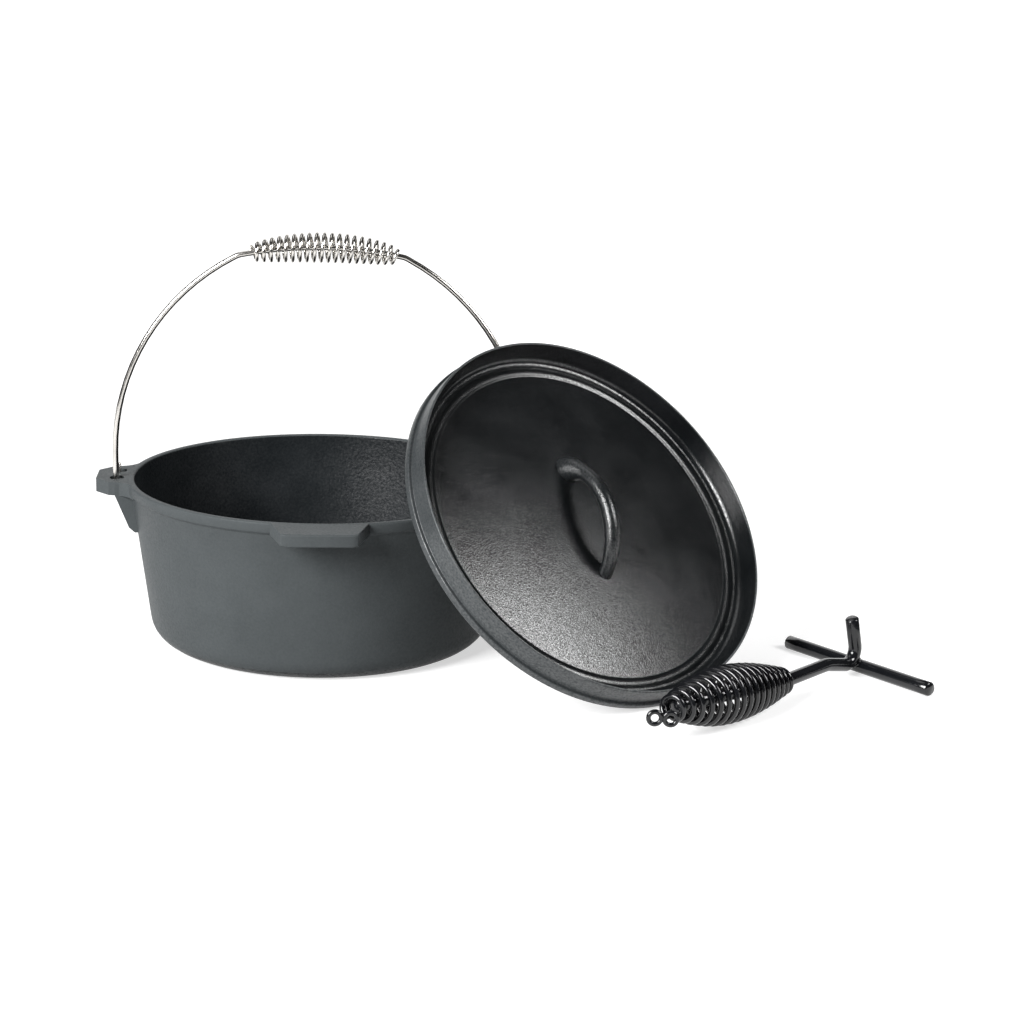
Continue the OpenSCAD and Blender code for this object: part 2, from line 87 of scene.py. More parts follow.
# Lid
LIP_R = 0.1486
LIP_H = 0.003
LIP_T = 0.007
LIP_FILLET = 0.003
LIP_DRAFT = 0.0005
LID_BAND_H = 0.006
FLANGE_R = 0.1526
LID_H = 0.0238
FLANGE_T = 0.0046
FLANGE_TAPER = 0.0026
FLANGE_ROUND = 0.0009
PLATE_T = 0.005
PLATE_Z = 0.005
DOME_RISE = 0.0054
RIDGE_R = 0.136
RIDGE_ROUND = 0.008
RIDGE_RISE = 0.0013
RIDGE_END_SHARE = 0.85
DOME_RINGS = (0.1318, 0.1311, 0.1295, 0.125, 0.115, 0.1, 0.08, 0.06, 0.04, 0.02, 0.008)
UNDER_RING = 0.07
FACE_MARGIN = 0.0002
FLANGE_FILLET = 0.006
LID_ROUND = 0.0012
GROOVE_D = 0.0006
GROOVE_W = 1.6 * GROOVE_D
GROOVE_LAND = 2.4 * GROOVE_D
LOOP_SPAN = 0.090
LOOP_H = 0.0276
LOOP_D = 0.0115
LOOP_FOOT_R = 0.0100
LOOP_LOW_FOOT_R = 0.0054
LOOP_BALL_R = 0.0088
LOOP_SINK = 0.001
LOOP_FLARE = 0.024
LOOP_STEPS = 72
LOOP_SIDES = 28
LOOP_TURN = math.radians(-7.8)
LID_TILT = math.radians(49.1)
LID_FACE = math.radians(-51.9)
LID_PLACE = Vector((0.199480, -0.101255, 0.117157))

# Bail and its grip
BAIL_D = 0.0046
BAIL_SPAN = 0.1625
LEG_H = 0.027
GRIP_CHORD = 0.124
GRIP_SLOPE = math.radians(12)
SHOULDER_SLOPE = math.radians(28)
SHOULDER_BEND = 0.012
LINK_RUN = 0.0015
HOOK_CLEAR = 0.00055
HOOK_TIP_H = 0.0065
BAIL_LEAN = math.radians(1.5)
BAIL_SWAY = -0.001
GRIP_WIRE_D = 0.003
GRIP_TURNS = 20
GRIP_MID_D = 0.0245
GRIP_CLEAR = 0.0004
GRIP_BARE = math.radians(1.6)
GRIP_SLIDE = math.radians(0.4)

# Lifter
ROD_D = 0.0105
ROD_TAIL_RUN = 0.140
ROD_MID_RUN = 0.045
ROD_FRONT_RUN = 0.023
ROD_KICK = math.radians(5.5)
ROD_DIP = math.radians(13.5)
HOOK_TURN = math.radians(119)
ROD_BEND = 0.025
HOOK_BEND = 0.011
HOOK_RUN = 0.024
BAR_LEN = 0.153
BAR_D = 0.011
BAR_SKEW = math.radians(-9.5)
WELD_GAP = 0.0001
WELD_REACH = 0.0040
WELD_BEAD = 0.0015
WELD_STEPS = 40
WELD_RIPPLES = 12
WELD_RIPPLE_DEPTH = 0.18
LIFTER_CLEAR = 0.0003
LIFTER_PLACE = (0.298, -0.224)
LIFTER_TURN = math.radians(44.2)
COIL_WIRE_D = 0.0044
COIL_TURNS = 17
COIL_TAIL_LEN = 0.066
COIL_FRONT_LEN = 0.075
COIL_MID_D = 0.0444
COIL_TAIL_D = 0.018
COIL_CLEAR = 0.0005
COIL_START = math.radians(270)
ROD_INSET = 0.008
EYE_R = 0.0028
EYE_WIRE_D = 0.0036
EYE_TURN = math.radians(44)
EYE_GAP = 0.001
EYE_ASIDE = 0.0055
EYE_APART = 0.0116

# Fineness of the meshes. BEND_STEP is in degrees.
ROUND_STEPS = 160
ARC_STEPS = 8
SEAT_STEPS = 16
SLOT_STEPS = 12
POCKET_STEPS = 32
LID_STEPS = 6
TRAY_STEPS = 10
BALL_STEPS = 24
BEND_STEP = 4
LEAST_BEND_STEPS = 4
BEVEL_STEPS = 3
TURN_STEPS = 28
WIRE_SIDES = 12
BAIL_SIDES = 16
ROD_SIDES = 24
BAR_STEPS = 12
EYE_STEPS = 40

# Sides of the spring wire in the solids, whose corners set where a spring's end clears its wire
SOLID_WIRE_SIDES = 6

# Grain of the materials. Scales are in grains to the metre.
PATCH_SCALE = 26
SWELL_SCALE = 90
STREAK_SCALE = 900
WIRE_TONE_SCALE = 60
PEEL_SCALE = 420
COAT_TONE_SCALE = 40
STREAK_DEPTH = 0.00002
PEEL_DEPTH = 0.00004
SHEEN_SPREAD = 0.7
NOISE_LOW = 0.3
NOISE_HIGH = 0.7

# Studio: the pale sheets, how bright they show, and the light of the world
STAGE_HALF = 1.8
STAGE_FRONT = -1.0
FLOOR_END = 0.9
STAGE_BACK = 3.2
STAGE_SWEEP = 0.8
SWEEP_START = -80
SWEEP_STEPS = 12
STAGE_HEIGHT = 3.0
SHEET_COLOUR = (0.55, 0.55, 0.55, 1)
FLOOR_GLOW = 0.62
BACKDROP_GLOW = 1.0
WORLD_LIGHT = 0.04

# Camera of the photograph: its place, its turns and its focal length in pixels
IMAGE_W = 1030
FOCAL_PX = 2400
SENSOR_W = 36
CAMERA_PLACE = Vector((0.01646, -1.88588, 0.59096))
CAMERA_PITCH = 0.2540
CAMERA_YAW = 0.0743
CAMERA_ROLL = 0.0270


# Makers of meshes

def add_piece(name, vertices, faces):
    """A new smooth mesh object with its faces turned outward."""
    mesh = bpy.data.meshes.new(name)
    shape = bmesh.new()
    points = [shape.verts.new(v) for v in vertices]
    for face in faces:
        shape.faces.new([points[i] for i in face])
    bmesh.ops.recalc_face_normals(shape, faces=shape.faces)
    for face in shape.faces:
        face.smooth = True
    shape.to_mesh(mesh)
    shape.free()
    piece = bpy.data.objects.new(name, mesh)
    bpy.context.scene.collection.objects.link(piece)
    return piece


def arc(centre, radius, start, end, steps=ARC_STEPS):
    """Points of an arc in a flat outline, angles in degrees."""
    angles = [math.radians(start + (end - start) * k / steps) for k in range(steps + 1)]
    return [(centre[0] + radius * math.cos(a), centre[1] + radius * math.sin(a)) for a in angles]


def revolve(name, profile, place=Matrix.Identity(4)):
    """A closed solid of revolution. Its profile of (radius, height) starts and ends on the axis."""
    count = ROUND_STEPS
    vertices = [place @ Vector((0, 0, profile[0][1]))]
    for radius, height in profile[1:-1]:
        for k in range(count):
            a = 2 * math.pi * k / count
            vertices.append(place @ Vector((radius * math.cos(a), radius * math.sin(a), height)))
    vertices.append(place @ Vector((0, 0, profile[-1][1])))
    faces = []
    rings = len(profile) - 2
    last = len(vertices) - 1
    for k in range(count):
        n = (k + 1) % count
        faces.append((0, 1 + n, 1 + k))
        for ring in range(rings - 1):
            low = 1 + ring * count
            faces.append((low + k, low + n, low + count + n, low + count + k))
        top = 1 + (rings - 1) * count
        faces.append((top + k, top + n, last))
    return add_piece(name, vertices, faces)


def tube(name, path, radii, sides=WIRE_SIDES, end_round=0.0, closed=False):
    """A round tube along a path, with frames carried along it and softened ends."""
    path = [Vector(p) for p in path]
    if end_round:
        first = (path[1] - path[0]).normalized()
        last = (path[-1] - path[-2]).normalized()
        head = [path[0], path[0] + first * end_round]
        tail = [path[-1] - last * end_round, path[-1]]
        path = head + path[1:-1] + tail
        radii = [radii[0] - end_round, radii[0]] + radii[1:-1] + [radii[-1], radii[-1] - end_round]
    count = len(path)
    ways = []
    for i in range(count):
        before = path[i - 1] if closed else path[max(i - 1, 0)]
        after = path[(i + 1) % count] if closed else path[min(i + 1, count - 1)]
        ways.append((after - before).normalized())
    side = ways[0].orthogonal().normalized()
    vertices = []
    for point, way, radius in zip(path, ways, radii):
        side = (side - way * side.dot(way)).normalized()
        up = way.cross(side)
        for k in range(sides):
            a = 2 * math.pi * k / sides
            vertices.append(point + radius * (math.cos(a) * side + math.sin(a) * up))
    faces = []
    for i in range(count if closed else count - 1):
        here = i * sides
        ahead = ((i + 1) % count) * sides
        for k in range(sides):
            n = (k + 1) % sides
            faces.append((here + k, here + n, ahead + n, ahead + k))
    if not closed:
        faces.append(tuple(range(sides - 1, -1, -1)))
        faces.append(tuple(range((count - 1) * sides, count * sides)))
    return add_piece(name, vertices, faces)


def even_tube(name, path, thickness, sides=WIRE_SIDES, end_round=0.0, closed=False):
    """A round tube of one thickness."""
    return tube(name, path, [thickness / 2] * len(path), sides, end_round, closed)


def extruded(name, outline, holes, low, high, place=Matrix.Identity(4)):
    """A prism from a flat outline with holes."""
    loops = [outline] + holes
    flat = [p for loop in loops for p in loop]
    total = len(flat)
    vertices = [place @ Vector((x, y, z)) for z in (low, high) for x, y in flat]
    fill = tessellate_polygon([[Vector((x, y, 0)) for x, y in loop] for loop in loops])
    faces = [tuple(t) for t in fill] + [tuple(i + total for i in t) for t in fill]
    start = 0
    for loop in loops:
        count = len(loop)
        for k in range(count):
            a = start + k
            b = start + (k + 1) % count
            faces.append((a, b, b + total, a + total))
        start += count
    return add_piece(name, vertices, faces)


def cut(piece, cutter):
    """Takes the cutter's space out of the piece."""
    change = piece.modifiers.new("cut", "BOOLEAN")
    change.object = cutter
    change.operation = "DIFFERENCE"
    change.solver = "EXACT"
    settle(piece)
    bpy.data.objects.remove(cutter)


def soften(piece, width):
    """Rounds the sharp edges of a piece."""
    change = piece.modifiers.new("soft edges", "BEVEL")
    change.width = width
    change.segments = BEVEL_STEPS
    change.limit_method = "ANGLE"
    change.angle_limit = SHARP_EDGE
    change.harden_normals = True
    settle(piece)


def settle(piece):
    """Keeps what a piece's modifiers make and drops the modifiers."""
    evaluated = piece.evaluated_get(bpy.context.evaluated_depsgraph_get())
    mesh = bpy.data.meshes.new_from_object(evaluated)
    piece.modifiers.clear()
    piece.data = mesh


def wire_path(start, steps):
    """Points of a wire made of runs, bends and rolls. The start frame looks along Z and bends to X."""
    here = start.copy()
    points = [here.translation.copy()]
    for kind, *values in steps:
        if kind == "run":
            here = here @ Matrix.Translation((0, 0, values[0]))
            points.append(here.translation.copy())
        elif kind == "bend":
            radius, angle = values
            count = max(LEAST_BEND_STEPS, round(math.degrees(angle) / BEND_STEP))
            for k in range(1, count + 1):
                a = angle * k / count
                points.append(here @ Vector((radius * (1 - math.cos(a)), 0, radius * math.sin(a))))
            across = Vector((radius * (1 - math.cos(angle)), 0, radius * math.sin(angle)))
            here = here @ Matrix.Translation(across) @ Matrix.Rotation(angle, 4, "Y")
        else:
            here = here @ Matrix.Rotation(values[0], 4, "Z")
    return points


def barrel(t, first, mid, last, belly_at, power):
    """Radius of a barrel spring at a share t of its length."""
    if t < belly_at:
        return first + (mid - first) * math.sin(math.pi / 2 * t / belly_at) ** power
    rest = max(0.0, (1 - t) / (1 - belly_at))
    return last + (mid - last) * math.sin(math.pi / 2 * rest) ** power


# Materials

def new_material(name):
    """A new material with its nodes, its links and its main shader."""
    material = bpy.data.materials.new(name)
    material.use_nodes = True
    nodes = material.node_tree.nodes
    return material, nodes, material.node_tree.links, nodes["Principled BSDF"]


def noise(nodes, links, scale, detail, roughness=0.55):
    """Noise by place on the object, with the scale in grains to the metre."""
    place = nodes.new("ShaderNodeTexCoord")
    grain = nodes.new("ShaderNodeTexNoise")
    grain.inputs["Scale"].default_value = scale
    grain.inputs["Detail"].default_value = detail
    grain.inputs["Roughness"].default_value = roughness
    links.new(place.outputs["Object"], grain.inputs["Vector"])
    return grain.outputs["Fac"]


def between(nodes, links, share, low, high):
    """A number that runs from low to high as the share runs over the middle of its range."""
    spread = nodes.new("ShaderNodeMapRange")
    spread.inputs["From Min"].default_value = NOISE_LOW
    spread.inputs["From Max"].default_value = NOISE_HIGH
    spread.inputs["To Min"].default_value = low
    spread.inputs["To Max"].default_value = high
    links.new(share, spread.inputs["Value"])
    return spread.outputs["Result"]


def shades(nodes, links, share, dark, light):
    """A colour that runs from dark to light."""
    ramp = nodes.new("ShaderNodeValToRGB")
    ramp.color_ramp.elements[0].position = NOISE_LOW
    ramp.color_ramp.elements[0].color = (*dark, 1)
    ramp.color_ramp.elements[1].position = NOISE_HIGH
    ramp.color_ramp.elements[1].color = (*light, 1)
    links.new(share, ramp.inputs["Fac"])
    return ramp.outputs["Color"]


def bumps(nodes, links, heights, depths, shader):
    """Stacks bumps of given depths on a shader's normal."""
    normal = None
    for height, depth in zip(heights, depths):
        bump = nodes.new("ShaderNodeBump")
        bump.inputs["Strength"].default_value = 1.0
        bump.inputs["Distance"].default_value = depth
        links.new(height, bump.inputs["Height"])
        if normal:
            links.new(normal, bump.inputs["Normal"])
        normal = bump.outputs["Normal"]
    links.new(normal, shader.inputs["Normal"])


def cast_iron(name, dark, light, rough, grain_scale, grain_depth, swell_depth, specular):
    """Seasoned cast iron: sandy grain, slow unevenness and patchy sheen."""
    material, nodes, links, shader = new_material(name)
    patches = noise(nodes, links, PATCH_SCALE, detail=4)
    grain = noise(nodes, links, grain_scale, detail=2.5, roughness=0.6)
    swell = noise(nodes, links, SWELL_SCALE, detail=2)
    links.new(shades(nodes, links, patches, dark, light), shader.inputs["Base Color"])
    links.new(between(nodes, links, patches, *rough), shader.inputs["Roughness"])
    sheen = between(nodes, links, grain, (1 - SHEEN_SPREAD) * specular, (1 + SHEEN_SPREAD) * specular)
    links.new(sheen, shader.inputs["Specular IOR Level"])
    bumps(nodes, links, [swell, grain], [swell_depth, grain_depth], shader)
    return material


def wire_steel(name):
    """Bright drawn wire with fine streaks."""
    material, nodes, links, shader = new_material(name)
    streaks = noise(nodes, links, STREAK_SCALE, detail=2)
    tone = noise(nodes, links, WIRE_TONE_SCALE, detail=3)
    colour = shades(nodes, links, tone, dark=(0.48, 0.465, 0.44), light=(0.62, 0.60, 0.57))
    links.new(colour, shader.inputs["Base Color"])
    links.new(between(nodes, links, tone, low=0.14, high=0.26), shader.inputs["Roughness"])
    shader.inputs["Metallic"].default_value = 1.0
    bumps(nodes, links, [streaks], [STREAK_DEPTH], shader)
    return material


def black_coat(name):
    """Gloss black coat on steel, with a slight orange-peel."""
    material, nodes, links, shader = new_material(name)
    peel = noise(nodes, links, PEEL_SCALE, detail=2)
    tone = noise(nodes, links, COAT_TONE_SCALE, detail=3)
    colour = shades(nodes, links, tone, dark=(0.0030, 0.0033, 0.004), light=(0.006, 0.0065, 0.008))
    links.new(colour, shader.inputs["Base Color"])
    links.new(between(nodes, links, tone, low=0.12, high=0.20), shader.inputs["Roughness"])
    shader.inputs["Specular IOR Level"].default_value = 0.5
    bumps(nodes, links, [peel], [PEEL_DEPTH], shader)
    return material


pot_iron = cast_iron(
    "pot_iron", dark=(0.047, 0.0525, 0.0545), light=(0.055, 0.061, 0.0632), rough=(0.42, 0.52),
    grain_scale=520, grain_depth=0.00012, swell_depth=0.00025, specular=0.06)
# The iron inside the mouth is darker than the outside: painted shade of the pot's hollow.
pot_mouth_shade_iron = cast_iron(
    "pot_mouth_shade_iron", dark=(0.007, 0.0086, 0.0098), light=(0.012, 0.014, 0.0155), rough=(0.40, 0.50),
    grain_scale=480, grain_depth=0.0003, swell_depth=0.00025, specular=0.2)
lid_face_iron = cast_iron(
    "lid_face_iron", dark=(0.003, 0.0036, 0.0041), light=(0.006, 0.0069, 0.0075), rough=(0.18, 0.25),
    grain_scale=900, grain_depth=0.00014, swell_depth=0.0001, specular=0.5)
lid_loop_iron = cast_iron(
    "lid_loop_iron", dark=(0.004, 0.005, 0.0056), light=(0.009, 0.0104, 0.0113), rough=(0.24, 0.34),
    grain_scale=700, grain_depth=0.0003, swell_depth=0.0001, specular=0.65)
lid_edge_iron = cast_iron(
    "lid_edge_iron", dark=(0.026, 0.0295, 0.031), light=(0.036, 0.040, 0.042), rough=(0.36, 0.46),
    grain_scale=520, grain_depth=0.00012, swell_depth=0.00025, specular=0.5)
bail_steel = wire_steel("bail_steel")
lifter_black = black_coat("lifter_black")


def dress(piece, body, slot, *materials):
    """Gives a piece its materials and its body. The slot, the name of its finish, is not used."""
    piece.data.materials.clear()
    for material in materials:
        piece.data.materials.append(material)
    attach(piece, body)
    return piece


def paint_faces(piece, slot_index, belongs):
    """Gives the faces whose middle the test accepts another of the piece's materials."""
    for face in piece.data.polygons:
        if belongs(face.center):
            face.material_index = slot_index


# Pot: the round body with its softened rim

def wall_out(z):
    """Outer radius of the wall at a height."""
    return RIM_R - RIM_BAND_STEP - (POT_H - z) * math.tan(WALL_SLANT)


def wall_in(z):
    """Inner radius of the wall at a height."""
    return RIM_R - RIM_T - (POT_H - z) * math.tan(WALL_SLANT)


slant = math.degrees(WALL_SLANT)
foot_r = wall_out(FOOT_FILLET) - FOOT_FILLET / math.cos(WALL_SLANT)
inner_z = FLOOR_T + INNER_FILLET
inner_r = wall_in(inner_z) - INNER_FILLET / math.cos(WALL_SLANT)
band_z = POT_H - RIM_BAND_H
mouth_r = RIM_R - RIM_T
band_foot_z = band_z - RIM_BAND_STEP
pot_profile = [(0, 0), (foot_r / 2, 0)]
pot_profile += arc((foot_r, FOOT_FILLET), FOOT_FILLET, -90, -slant)
pot_profile += [(wall_out(z), z) for z in OUTER_RINGS]
pot_profile += [(wall_out(band_foot_z - BAND_SOFT), band_foot_z - BAND_SOFT)]
pot_profile += [(wall_out(band_foot_z) + BAND_SOFT / 2, band_foot_z)]
pot_profile += [(RIM_R - BAND_SOFT, band_z - BAND_SOFT / 3), (RIM_R, band_z + BAND_SOFT * 4 / 3)]
pot_profile += arc((RIM_R - RIM_ROUND, POT_H - RIM_ROUND), RIM_ROUND, 0, 90)
pot_profile += arc((mouth_r + RIM_ROUND, POT_H - RIM_ROUND), RIM_ROUND, 90, 180 + slant)
pot_profile += [(wall_in(z), z) for z in INNER_RINGS]
pot_profile += arc((inner_r, inner_z), INNER_FILLET, -slant, -90)
pot_profile += [(inner_r / 2, FLOOR_T), (0, FLOOR_T)]
pot_body = dress(revolve("pot_body", pot_profile), "pot", "pot_iron", pot_iron, pot_mouth_shade_iron)


def in_mouth(centre):
    """Whether a place of the pot's surface is inside its mouth."""
    inside = math.hypot(centre.x, centre.y) < wall_in(centre.z) + MOUTH_MARGIN
    return inside and FLOOR_T / 2 < centre.z < POT_H - MOUTH_DROP


# The faces inside the mouth take the darker iron, which paints in the shade of the hollow.
paint_faces(pot_body, 1, in_mouth)
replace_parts(pot_body, "pot")


# Lugs with their slots and gussets, and the front tab

seat_r = mouth_r + ROOT_SEAT
top_z = POT_H - TOP_DROP
lug_z = POT_H - LUG_T
hinge_z = POT_H - LUG_T / 2
hook_r = math.hypot(BRIDGE_W / 2, LUG_T / 2) + HOOK_CLEAR + BAIL_D / 2
hook_tip_run = LUG_T / 2 + HOOK_TIP_H
pocket_r = math.hypot(hook_r + BAIL_D / 2, hook_tip_run) + HOOK_CLEAR


def curve_between(start, control, end, steps=ARC_STEPS):
    """Points of a soft corner between two points."""
    points = []
    for k in range(steps + 1):
        t = k / steps
        points.append(tuple((1 - t) ** 2 * a + 2 * t * (1 - t) * c + t * t * b
                            for a, c, b in zip(start, control, end)))
    return points


def lug_half_outline():
    """The side of a lug from its tip to the rim, on the side of positive Y."""
    tip_half = LUG_TIP_W / 2
    slope = math.tan(LUG_SIDE_SLANT)
    corner = [(LUG_REACH, tip_half - LUG_CORNER),
              (LUG_REACH - LUG_CORNER, tip_half + LUG_CORNER * slope)]
    root_x = RIM_R - LUG_ROOT_SINK
    root = (root_x, tip_half + (LUG_REACH - root_x) * slope)
    side_end = (root[0] + LUG_ROOT_BLEND, root[1] - LUG_ROOT_BLEND * slope)
    root_angle = math.atan2(root[1], root[0])
    rim_angle = root_angle + LUG_ROOT_BLEND / RIM_R
    rim_point = ((RIM_R - RIM_ROUND) * math.cos(rim_angle), (RIM_R - RIM_ROUND) * math.sin(rim_angle))
    return corner + curve_between(side_end, root, rim_point), rim_angle


def lug_outline():
    """A lug from above, with its root in the rim."""
    half, rim_angle = lug_half_outline()
    end = math.degrees(rim_angle)
    inner = arc((0, 0), seat_r, end, -end, SEAT_STEPS)
    return half + inner + [(x, -y) for x, y in reversed(half)]


def slot_outline(side):
    """A slot with round ends on one side of the bridge."""
    middle = side * (BRIDGE_W + SLOT_LEN) / 2
    reach = (SLOT_LEN - SLOT_W) / 2
    return (arc((BAIL_SPAN, middle + reach), SLOT_W / 2, 0, 180, SLOT_STEPS)
            + arc((BAIL_SPAN, middle - reach), SLOT_W / 2, 180, 360, SLOT_STEPS))


def pocket_cutter():
    """The room under a lug in which the bail's hook swings."""
    outline = arc((0, 0), pocket_r, 180, 360, POCKET_STEPS)
    outline += [(pocket_r, -LUG_T / 2), (-pocket_r, -LUG_T / 2)]
    below = [p for p in outline if p[1] <= -LUG_T / 2]
    turn = Matrix(((0, 0, 1, BAIL_SPAN - SLOT_W / 2), (1, 0, 0, 0), (0, 1, 0, hinge_z), (0, 0, 0, 1)))
    return extruded("pocket", below, [], 0, LUG_REACH - BAIL_SPAN + SLOT_W, turn)


def gusset():
    """The web under a lug, with the hook's pocket taken out."""
    foot_z = lug_z - GUSSET_DROP
    toe_z = foot_z - GUSSET_TOE
    crown_z = top_z - CAST_BEVEL
    outline = [
        (wall_in(toe_z) + GUSSET_SINK, toe_z), (wall_out(toe_z), toe_z),
        (wall_out(foot_z) + GUSSET_TOE, foot_z), (RIM_R + GUSSET_REACH, lug_z),
        (RIM_R + GUSSET_REACH, crown_z), (wall_in(crown_z) + GUSSET_SINK, crown_z),
    ]
    upright = Matrix.Rotation(math.pi / 2, 4, "X")
    piece = extruded("gusset", outline, [], -GUSSET_W / 2, GUSSET_W / 2, upright)
    cut(piece, pocket_cutter())
    soften(piece, 2 * CAST_BEVEL)
    return piece


for side_name, turn in (("right", 0), ("left", math.pi)):
    lug = extruded("lug_" + side_name, lug_outline(), [slot_outline(1), slot_outline(-1)], lug_z, top_z)
    soften(lug, CAST_BEVEL)
    web = gusset()
    web.name = "gusset_" + side_name
    for piece in (lug, web):
        piece.data.transform(Matrix.Rotation(turn, 4, "Z"))
        dress(piece, "pot", "pot_iron", pot_iron)


def tab_outline():
    """The front tab from above, with its root in the rim."""
    outer = RIM_R + TAB_REACH
    half = TAB_TIP_W / 2
    root_angle = math.degrees(math.asin(TAB_ROOT_W / 2 / seat_r))
    front = [(-half - TAB_FLARE, TAB_CORNER - outer), (TAB_CORNER - half, -outer),
             (half - TAB_CORNER, -outer), (half + TAB_FLARE, TAB_CORNER - outer)]
    return front + arc((0, 0), seat_r, root_angle - 90, -root_angle - 90, SEAT_STEPS)


tab = extruded("front_tab", tab_outline(), [], POT_H - TAB_T, top_z)
soften(tab, CAST_BEVEL)
dress(tab, "pot", "pot_iron", pot_iron)


# Lid: the round casting and its loop, in the lid's own leaning frame

lid_frame = (Matrix.Translation(LID_PLACE) @ Matrix.Rotation(LID_FACE, 4, "Z")
             @ Matrix.Rotation(LID_TILT, 4, "Y"))
flange_in = FLANGE_R - FLANGE_T
lip_in = LIP_R - LIP_T
under_z = PLATE_Z - PLATE_T
ridge_z = PLATE_Z + RIDGE_RISE - RIDGE_ROUND
ridge_half = math.degrees(math.acos((PLATE_Z - ridge_z) / RIDGE_ROUND))


def dome_height(r):
    """Height of the lid's dome at a radius."""
    return PLATE_Z + DOME_RISE * (1 - (r / RIDGE_R) ** 2)


lid_profile = [(0, under_z), (UNDER_RING, under_z)]
lid_profile += arc((lip_in - LIP_FILLET, under_z - LIP_FILLET), LIP_FILLET, 90, 0, LID_STEPS)
lid_profile += [(lip_in + LIP_DRAFT, -LIP_H)]
lid_profile += arc((LIP_R - LID_ROUND, LID_ROUND - LIP_H), LID_ROUND, -90, 0, LID_STEPS)
lid_profile += [(LIP_R + LIP_DRAFT, 0)]
lid_profile += arc((RIM_R - LID_ROUND, LID_ROUND), LID_ROUND, -90, 0, LID_STEPS)
lid_profile += arc((RIM_R - LID_ROUND, LID_BAND_H - LID_ROUND), LID_ROUND, 0, 90, LID_STEPS)
lid_profile += [(FLANGE_R, LID_BAND_H), (FLANGE_R - GROOVE_D, LID_BAND_H + GROOVE_D / 2),
                (FLANGE_R, LID_BAND_H + GROOVE_W), (FLANGE_R, LID_BAND_H + GROOVE_LAND)]
lid_profile += arc((FLANGE_R - FLANGE_ROUND, LID_H - FLANGE_ROUND), FLANGE_ROUND, 0, 90, LID_STEPS)
tray_edge_r = flange_in + FLANGE_TAPER
lid_profile += arc((tray_edge_r + FLANGE_ROUND, LID_H - FLANGE_ROUND), FLANGE_ROUND, 90, 180, LID_STEPS)
tray_corner = (flange_in - FLANGE_FILLET, PLATE_Z + FLANGE_FILLET)
lid_profile += arc(tray_corner, FLANGE_FILLET, 0, -90, TRAY_STEPS)
ridge_end = 90 + ridge_half * RIDGE_END_SHARE
lid_profile += arc((RIDGE_R, ridge_z), RIDGE_ROUND, 90 - ridge_half, ridge_end, TRAY_STEPS)
lid_profile += [(r, dome_height(r)) for r in DOME_RINGS]
lid_profile += [(0, dome_height(0))]
lid_body = revolve("lid_body", lid_profile, lid_frame)
dress(lid_body, "lid", "lid_iron", lid_edge_iron, lid_face_iron)
lid_back = lid_frame.inverted()


def on_lid_face(centre):
    """Whether a place of the lid's surface is inside its tray."""
    local = lid_back @ centre
    inside = math.hypot(local.x, local.y) < tray_edge_r + FACE_MARGIN
    return inside and local.z > PLATE_Z - FACE_MARGIN


paint_faces(lid_body, 1, on_lid_face)
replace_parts(lid_body, "lid")

loop_arc_r = (LOOP_SPAN ** 2 / 4 + LOOP_H ** 2) / (2 * LOOP_H)
loop_half = math.asin(LOOP_SPAN / 2 / loop_arc_r)
loop_top = PLATE_Z + DOME_RISE + LOOP_H
loop_frame = lid_frame @ Matrix.Rotation(LOOP_TURN, 4, "Z")
foot_sweep = LOOP_FOOT_R / loop_arc_r


def loop_point(angle):
    """A point of the loop's middle line."""
    drop = loop_arc_r * (1 - math.cos(angle))
    return loop_frame @ Vector((loop_arc_r * math.sin(angle), 0, loop_top - drop))


def loop_radius(angle):
    """Half thickness of the loop: even along the bow, with a stout upper foot and a slim lower one."""
    end_r = LOOP_FOOT_R if angle < 0 else LOOP_LOW_FOOT_R
    from_end = (loop_half - abs(angle)) * loop_arc_r
    nearness = min(1.0, max(0.0, 1 - from_end / LOOP_FLARE))
    ease = nearness ** 2 * (3 - 2 * nearness)
    return LOOP_D / 2 + (end_r - LOOP_D / 2) * ease


loop_reach = loop_half + foot_sweep / 2
loop_angles = [(2 * k / LOOP_STEPS - 1) * loop_reach for k in range(LOOP_STEPS + 1)]
loop_path = [loop_point(a) for a in loop_angles]
lid_loop = tube("lid_loop", loop_path, [loop_radius(a) for a in loop_angles], LOOP_SIDES)
dress(lid_loop, "lid", "lid_iron", lid_loop_iron)

ball_at = Matrix.Translation((-LOOP_SPAN / 2, 0, PLATE_Z + DOME_RISE - LOOP_SINK))
ball_profile = arc((0, 0), LOOP_BALL_R, -90, 90, BALL_STEPS)
foot_ball = revolve("lid_loop_foot", ball_profile, loop_frame @ ball_at)
dress(foot_ball, "lid", "lid_iron", lid_loop_iron)


# Bail: one wire from hook to hook, and its barrel spring

